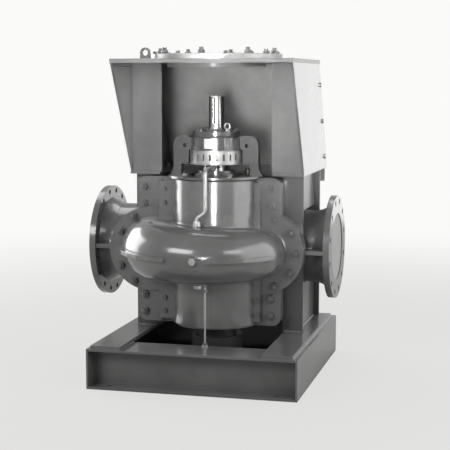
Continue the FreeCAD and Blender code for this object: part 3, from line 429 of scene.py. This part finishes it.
def fasteners(name, places, direction, nut, material, turn=0.0):
    """Hexagon nuts or screw heads in one mesh.

    Each is a washer's ring, then a hexagon, then the end of its stud with a bevel. At the
    angle t the hexagon's edge lies at half / cos(t folded into one side). Its corners are cut
    off at 1.12 times half the width, and its top edge runs in to the circle inside the hexagon.
    """
    t = full_turn(HEX_STEPS)
    folded = (t + np.pi / 6) % (np.pi / 3) - np.pi / 6
    half = nut.across / 2
    hexagon = half / np.cos(folded)
    round_ring = np.full(HEX_STEPS, half)
    cut = np.minimum(hexagon, half * CORNER_REACH)
    low = nut.washer
    top = low + nut.height
    rings = []
    if nut.washer:
        rings += [(round_ring * WASHER_REACH, -0.0005), (round_ring * WASHER_REACH, low)]
    rings += [(hexagon * 0.999, low), (cut, low + 0.0001)]
    rings += [(cut, top - nut.height * 0.1), (round_ring, top)]
    if nut.stud:
        core = round_ring * STUD_REACH
        rings += [(core, top), (core, top + nut.stud * 0.8), (core * 0.8, top + nut.stud)]
    radius = np.array([ring for ring, level in rings])
    levels = np.array([level for ring, level in rings])
    outward, ahead = circle(direction, t + turn)
    one = radius[:, :, None] * outward[None] + levels[:, None, None] * ahead
    places = np.asarray(places, dtype=float).reshape(-1, 3)
    joined(name, [place + one for place in places], material, crease=28)


# The casing

SHAFT_Y = -0.043
MIDDLE_Z = 0.545
CASING_LOW = 0.222
CASING_HIGH = 0.868
CHAMBER_REACH = 0.190
FLANGE_FACE_Y = -0.080
BULGE_FACE_Y = -0.088
SHOULDER_FACE_Y = -0.108
NOZZLE_Y = 0.185

# The spiral's tube at its start, and how much it grows over the half turn at the front
TUBE_RADIUS, TUBE_GROWTH = 0.104, 0.028
TUBE_REACH, REACH_GROWTH = 0.211, 0.082
TUBE_DROP, TUBE_RISE = 0.006, 0.020

# How far the smooth casting stands off the solid walls and off the split plane
SKIN = 0.0015
SKIN_FORWARD = 0.001


def arc(centre_r, centre_z, radius, start, end, count):
    """Points centre + radius (cos, sin) of an angle that runs from start to end.

    There is one row for every turn about the shaft, each with its own centre and ends.
    """
    share = np.linspace(0, 1, count)[None, :]
    angle = start[:, None] + (end - start)[:, None] * share
    reach = np.broadcast_to(radius, centre_r.shape)[:, None]
    r = centre_r[:, None] + reach * np.cos(angle)
    z = centre_z[:, None] + reach * np.sin(angle)
    return np.stack([r, z], -1)


def spiral_skin():
    """The front of the suction chambers and of the spiral in one smooth casting.

    Every turn t about the shaft has one outline in radius and height: the rounded rim of the
    chamber, its straight wall, a hollow fillet, the arc of the spiral's tube, a second fillet,
    the wall and the rim again, and a wall inside the solids that closes it. The tube's radius,
    reach and height grow evenly with t, and each fillet's centre lies at the tube's radius
    plus its own from the tube's centre.
    """
    t = np.linspace(0.0, np.pi, 145)
    share = t / np.pi
    one = np.ones_like(t)
    tube = TUBE_RADIUS + TUBE_GROWTH * share + SKIN
    centre = TUBE_REACH + REACH_GROWTH * share
    middle = MIDDLE_Z - TUBE_DROP + TUBE_RISE * share
    wall = CHAMBER_REACH + SKIN
    fillet = 0.016
    rim = 0.010
    closing_wall = 0.1
    lean = wall + fillet - centre
    rise = np.sqrt((tube + fillet) ** 2 - lean ** 2)
    bend = np.arctan2(rise, lean)
    quarter = np.pi / 2 * one
    rim_r = (wall - rim) * one
    fillet_r = (wall + fillet) * one
    low = arc(rim_r, (CASING_LOW + rim) * one, rim, -quarter, 0 * one, 7)
    high = arc(rim_r, (CASING_HIGH - rim) * one, rim, 0 * one, quarter, 7)
    under = arc(fillet_r, middle - rise, fillet, np.pi * one, np.pi - bend, 7)
    over = arc(fillet_r, middle + rise, fillet, np.pi + bend, np.pi * one, 7)
    belly = arc(centre, middle, tube, -bend, bend, 61)
    inside = np.stack([np.stack([closing_wall * one, CASING_HIGH * one], -1),
                       np.stack([closing_wall * one, CASING_LOW * one], -1)], 1)
    outline = np.concatenate([low, under, belly, over, high, inside], axis=1)
    r, z = outline[..., 0], outline[..., 1]
    x = r * np.cos(t)[:, None]
    y = SHAFT_Y - r * np.sin(t)[:, None] - SKIN_FORWARD
    points = np.stack([x, y, z], -1)
    faces = grid_faces(*points.shape[:2])
    finish_mesh("spiral_skin", points, faces, casing_enamel, crease=50)


def around(x, radius, degrees):
    """Pairs of x and z on a circle about a centre at the casing's middle height."""
    t = np.radians(np.asarray(degrees, dtype=float))
    return np.stack([x + radius * np.cos(t), MIDDLE_Z + radius * np.sin(t)], -1)


def column_of(x, heights):
    """Pairs of x and z one above another."""
    return np.stack([np.full(len(heights), x), heights], -1)


def at_depth(groups, y):
    """Groups of pairs of x and z as places at one depth."""
    pairs = np.concatenate(groups)
    return np.stack([pairs[:, 0], np.full(len(pairs), y), pairs[:, 1]], -1)


def split_bolts():
    """Nuts on studs along the split flange, and the screws in the shoulders beside the chambers."""
    flange_heights = [0.823, 0.748, 0.342, 0.267]
    left = column_of(-0.319, flange_heights)
    right = column_of(0.250, flange_heights)
    corners = column_of(-0.242, [0.842, 0.248])
    fasteners("flange_nuts", at_depth([left, right, corners], FLANGE_FACE_Y), FORWARD,
              FLANGE_NUT, fastener_enamel, turn=0.3)
    left_bulge = around(-0.275, 0.172, [153, 207, 122, 238])
    right_bulge = around(0.203, 0.160, [0, 33, -33, 66, -66])
    fasteners("bulge_nuts", at_depth([left_bulge, right_bulge], BULGE_FACE_Y), FORWARD,
              FLANGE_NUT, fastener_enamel, turn=0.1)
    shoulder_heights = [0.815, 0.756, 0.334, 0.275]
    shoulders = [column_of(-0.219, shoulder_heights), column_of(0.199, shoulder_heights)]
    fasteners("shoulder_screws", at_depth(shoulders, SHOULDER_FACE_Y), FORWARD,
              SHOULDER_SCREW, fastener_enamel)


def nozzle_hub(name, side, face, neck):
    """The tapered root of a nozzle flange, from the neck out to the flange's back at x = face.

    At each share of its length the radius is neck + growth (1 - cos(share pi / 2)), 1 mm proud.
    """
    length, growth, hidden = 0.060, 0.026, 0.02
    share = np.linspace(0, 1, 9)
    grown = neck + 0.001 + growth * (1 - np.cos(share * np.pi / 2))
    back = -length * (1 - share)
    profile = [(neck - hidden, -length)] + list(zip(grown, back)) + [(neck - hidden, 0.0)]
    turned(name, (side * face, NOZZLE_Y, MIDDLE_Z), (side, 0, 0), profile, casing_enamel,
           count=96, crease=40)


# The upper bearing

FOOT_TOP = 0.878
GLAND_FACE = 0.898
WINDOW_TOP = 0.925
GUARD_TOP = 0.989
CAP_TOP = 1.069
COVER_TOP = 1.079
HOUSING_REACH = 0.113
PAD_FOOT = 0.111


def ring_places(radius, height, degrees):
    """Places on a level circle about the shaft."""
    t = np.radians(np.asarray(degrees, dtype=float))
    return np.stack([radius * np.cos(t), SHAFT_Y + radius * np.sin(t), np.full(len(t), height)], -1)


def bearing_screws():
    """Screws of the cap and its cover, the lantern's nuts and the gland's studs with their nuts."""
    fasteners("cap_screws", ring_places(0.086, CAP_TOP, np.arange(8) * 45 + 10), UP,
              CAP_SCREW, fastener_enamel)
    fasteners("cover_screws", ring_places(0.052, COVER_TOP, np.arange(4) * 90 + 35), UP,
              COVER_SCREW, fastener_enamel)
    fasteners("lantern_nuts", ring_places(0.196, FOOT_TOP, [-120, -92, -60, 60, 90, 120]), UP,
              LANTERN_NUT, fastener_enamel)
    gland_places = ring_places(0.072, GLAND_FACE, [-118, -62, 62, 118])
    stud_path = np.array([[0, 0, 0], [0, 0, 0.001], [0, 0, 0.026], [0, 0, 0.027]])
    stud_radii = np.array([0.0048, 0.005, 0.005, 0.004])
    joined("gland_studs", [rod(place + stud_path, stud_radii) for place in gland_places],
           shaft_steel)
    fasteners("gland_nuts", gland_places, UP, GLAND_NUT, ring_steel)


def guard_lip(name, height):
    """A thin lip round the guard ring, its outer edges broken."""
    inner, outer, thick, edge = 0.112, 0.1180, 0.005, 0.0012
    profile = [(inner, 0.0), (outer - edge, 0.0), (outer, edge),
               (outer, thick - edge), (outer - edge, thick), (inner, thick)]
    turned(name, (0, SHAFT_Y, height), UP, profile, ring_steel, count=96)


def eye_bolt():
    """A small eye bolt on the bearing's cap: its collar and shank, and the ring on it."""
    seat = np.array([0.062, SHAFT_Y - 0.058, CAP_TOP])
    collar, collar_top, shank_top, core = 0.011, 0.005, 0.0105, 0.001
    profile = [(core, 0), (collar, 0.0), (collar, collar_top), (0.0055, 0.007),
               (0.0045, shank_top), (core, shank_top)]
    turned("eye_bolt_shank", seat, UP, profile, ring_steel)
    torus("eye_bolt_ring", seat + [0, 0, 0.0215], FORWARD, 0.012, 0.0036,
          ring_steel)


def curved_pad(name, first, last, low, high, proud, material):
    """A pad between two angles and two heights that follows the front of the bearing housing.

    A section in radius and height is carried round the shaft by its angle t. Its outer edges
    are broken by a small step, and the first and last sections, drawn in by it, end the pad.
    """
    step = 0.0008
    t = np.radians(np.linspace(first, last, 21))
    t = np.concatenate([t[:1], t, t[-1:]])
    edge = np.full(len(t), step)
    edge[[0, -1]] = 0.0
    reach = HOUSING_REACH + proud - step + edge
    inner = np.full(len(t), PAD_FOOT)
    r = np.stack([inner, reach - edge, reach, reach, reach - edge, inner], -1)
    z = np.broadcast_to([low, low, low + step, high - step, high, high], r.shape)
    points = np.stack([r * np.cos(t)[:, None], SHAFT_Y + r * np.sin(t)[:, None], z], -1)
    finish_mesh(name, points, grid_faces(*r.shape), material, crease=40)


# The stool and the frame

RING_TOP = 1.400
SEAT_TOP = 0.886
SIDE_FACE = 0.391


def top_fasteners():
    """Nuts on the motor studs, and the screws that hold the ring to the top plate."""
    angles = np.arange(8) * 45
    fasteners("stud_nuts", ring_places(0.255, RING_TOP, angles), UP,
              MOTOR_STUD_NUT, fastener_enamel)
    fasteners("ring_screws", ring_places(0.268, RING_TOP, angles + 22.5), UP,
              RING_SCREW, fastener_enamel)


def stool_fasteners():
    """Screws through the stool's side sheets into its back, and through its seats into the columns."""
    for side, name in ((-1, "left"), (1, "right")):
        face = side * SIDE_FACE
        along_back = [(face, 0.326, 1.266), (face, 0.400, 1.099), (face, 0.470, 0.932)]
        fasteners("side_screws_" + name, along_back, (side, 0, 0),
                  SIDE_SCREW, stool_enamel)
        on_seat = [(side * 0.325, y, SEAT_TOP) for y in (0.06, 0.17, 0.28)]
        fasteners("seat_screws_" + name, on_seat, UP,
                  SEAT_SCREW, fastener_enamel)


# Beads on the right-hand side, each with its start, its end and its radius
FRAME_BEADS = (
    # The foot of the column's front flange, and round its outer edge
    ((0.380, -0.006, 0.187), (0.289, -0.006, 0.187), 0.005),
    ((0.381, 0.0, 0.188), (0.381, 0.010, 0.188), 0.004),
    # The foot of the column's web, and its corner with the front flange
    ((0.357, 0.008, 0.189), (0.357, 0.405, 0.189), 0.005),
    ((0.357, 0.008, 0.19), (0.357, 0.008, 0.87), 0.0045),
    # The base's channel where it meets the front beam
    ((0.380, -0.315, 0.171), (0.380, -0.33, 0.171), 0.003),
    # The outer edge of the sole plate, and its inner edge on the front beam
    ((0.430, -0.49, 0.172), (0.430, 0.45, 0.172), 0.004),
    ((0.300, -0.49, 0.172), (0.300, -0.317, 0.172), 0.004),
)
STOOL_BEADS = (
    # The corner of the front and side sheets, and the side sheet under the top plate
    ((0.380, -0.046, 0.888), (0.380, -0.046, 1.344), 0.0035),
    ((0.380, -0.315, 1.3445), (0.380, 0.300, 1.3445), 0.0035),
    # The foot of the front sheet on the seat
    ((0.391, -0.056, 0.887), (0.250, -0.056, 0.887), 0.003),
)


def bead(start, end, radius):
    """A weld bead: a bar between two points whose radius ripples along its length.

    At its n-th ring the radius is radius + ripple cos(2.1 n), and half the radius at its ends.
    """
    ripple, step = 0.0006, 0.005
    start, end = np.asarray(start, dtype=float), np.asarray(end, dtype=float)
    count = max(int(np.linalg.norm(end - start) / step), 4)
    share = np.linspace(0, 1, count)[:, None]
    radii = radius + ripple * np.cos(np.arange(count) * 2.1)
    radii[0] = radii[-1] = radius * 0.5
    return rod(start + (end - start) * share, radii, count=10)


def welds(name, beads, material):
    """The listed beads on both sides of the frame, in one mesh."""
    bars = []
    for side in (-1, 1):
        across = np.array([side, 1, 1])
        bars += [bead(start * across, end * across, radius) for start, end, radius in beads]
    joined(name, bars, material, crease=60)


# Small fittings on the pipework

def pipe_fittings():
    """Union nuts on the flush pipe, two nuts on the drain pipe and a collar behind the vent plug."""
    fasteners("flush_union_low", [(-0.029, -0.270, 0.674)], UP,
              LOW_UNION, ring_steel)
    fasteners("flush_union_high", [(0.002, -0.110, 0.913)], FORWARD,
              HIGH_UNION, ring_steel)
    fasteners("drain_lock_nut", [(0.020, -0.322, 0.403)], UP,
              LOCK_NUT, fastener_enamel)
    fasteners("drain_foot_nut", [(0.020, -0.322, 0.177)], UP,
              FOOT_NUT, fastener_enamel)
    inner, outer, edge, half = 0.005, 0.0205, 0.0015, 0.003
    profile = [(inner, -half), (outer, -half), (outer, half - edge), (outer - edge, half), (inner, half)]
    turned("vent_collar", (-0.007, -0.421, MIDDLE_Z), FORWARD, profile,
           fastener_enamel)


spiral_skin()
split_bolts()
nozzle_hub("suction_hub", side=-1, face=0.560, neck=0.172)
nozzle_hub("discharge_hub", side=1, face=0.472, neck=0.162)
bearing_screws()
guard_lip("guard_lip_low", WINDOW_TOP)
guard_lip("guard_lip_high", GUARD_TOP - 0.005)
eye_bolt()
curved_pad("bare_plate", -104, -81, 0.996, 1.038, 0.0022, pale_plate)
curved_pad("housing_rib", -58, -51, 0.990, 1.040, 0.006, casing_enamel)
top_fasteners()
stool_fasteners()
welds("frame_welds", FRAME_BEADS, frame_enamel)
welds("stool_welds", STOOL_BEADS, stool_enamel)
pipe_fittings()


# Floor, light and camera

BACKGROUND_TONE = 0.96
NEAR_FLOOR_TONE = 0.84
LIT_FLOOR_TONE = 0.4
SOFT_LIGHT = 0.28


def pale_floor():
    """A flat floor that takes the object's shadow and fades into the background far away."""
    span = 9.0
    mesh = bpy.data.meshes.new("floor")
    corners = [(-span, -span, 0), (span, -span, 0), (span, span, 0), (-span, span, 0)]
    mesh.from_pydata(corners, [], [(0, 1, 2, 3)])
    floor = new_object("floor", mesh)
    material, start = new_finish("floor_white")
    distance = start.node(
        "ShaderNodeVectorMath", {"operation": "LENGTH"}, {0: start.place()}, "Value")
    far = distance.between(1.2, 5.5)
    seen = start.ray("Is Camera Ray") + start.ray("Is Glossy Ray") * 0.25
    lit = start.node("ShaderNodeBsdfDiffuse", None, {"Color": gray(LIT_FLOOR_TONE)})
    shade = start.tint(far, gray(NEAR_FLOOR_TONE), gray(BACKGROUND_TONE))
    glow = start.node("ShaderNodeEmission", None, {"Color": shade, "Strength": 1.0})
    put_out(start, start.mixed(seen * (0.8 + far * 0.2), lit, glow))
    mesh.materials.append(material)


def studio_world():
    """Near white to the camera, a little of it in reflections, and a plain soft light elsewhere."""
    world = bpy.data.worlds.new("studio")
    bpy.context.scene.world = world
    world.use_nodes = True
    world.node_tree.nodes.clear()
    start = Shade(world.node_tree)
    seen = start.ray("Is Camera Ray") + start.ray("Is Transmission Ray")
    share = start.maths("MINIMUM", seen + start.ray("Is Glossy Ray") * 0.3, 1.0)
    soft = start.node("ShaderNodeBackground", None, {"Color": gray(1.0), "Strength": SOFT_LIGHT})
    white = start.node(
        "ShaderNodeBackground", None, {"Color": gray(BACKGROUND_TONE), "Strength": 1.0})
    start.node("ShaderNodeOutputWorld", None, {"Surface": start.mixed(share, soft, white)})


def softbox(name, place, target, width, height, power, spread=180):
    """A rectangular lamp that faces a point, its light kept within an angle in degrees."""
    light = bpy.data.lights.new(name, "AREA")
    light.shape = "RECTANGLE"
    light.size, light.size_y = width, height
    light.energy = power
    light.spread = math.radians(spread)
    lamp = new_object(name, light)
    lamp.visible_camera = False
    lamp.location = place
    away = np.asarray(place, dtype=float) - np.asarray(target, dtype=float)
    level = math.hypot(away[0], away[1])
    lamp.rotation_euler = (math.atan2(level, away[2]), 0, math.atan2(away[1], away[0]) + math.pi / 2)


def set_camera():
    """The photograph's view: where it stands, its turn and its lens, for a square picture."""
    camera = bpy.data.cameras.new("camera")
    camera.sensor_width = 36.0
    camera.lens = 98.4
    looking_down, turned_left = 6.812, 14.104
    seat = new_object("camera", camera)
    seat.location = (1.3459, -5.2511, 1.297)
    seat.rotation_euler = (math.radians(90 - looking_down), 0, math.radians(turned_left))
    bpy.context.scene.camera = seat


pale_floor()
studio_world()
softbox("right_box", (2.7, -0.1, 1.35), (0.0, -0.1, 0.9), width=3.3, height=2.6, power=60)
softbox("left_box", (-4.2, 1.5, 1.6), (0.0, 0.0, 0.7), width=3.4, height=2.8, power=165)
softbox("left_key", (-2.0, -4.4, 2.6), (0.0, 0.0, 0.6), width=2.9, height=1.3, power=100)
softbox("right_key", (3.3, -2.9, 2.6), (0.0, 0.0, 0.6), width=1.8, height=1.2, power=30)
softbox("inner_box", (0.62, -4.2, 1.02), (0.06, 0.3, 1.25), width=1.0, height=0.8, power=3.0,
        spread=17)
softbox("back_box", (1.6, 5.6, 1.3), (0.3, 0.0, 0.8), width=4.0, height=3.0, power=39)
softbox("top_box", (-0.8, 1.5, 4.0), (-0.2, 0.0, 0.6), width=2.6, height=2.0, power=50)
set_camera()
bpy.context.scene.view_settings.view_transform = "Standard"
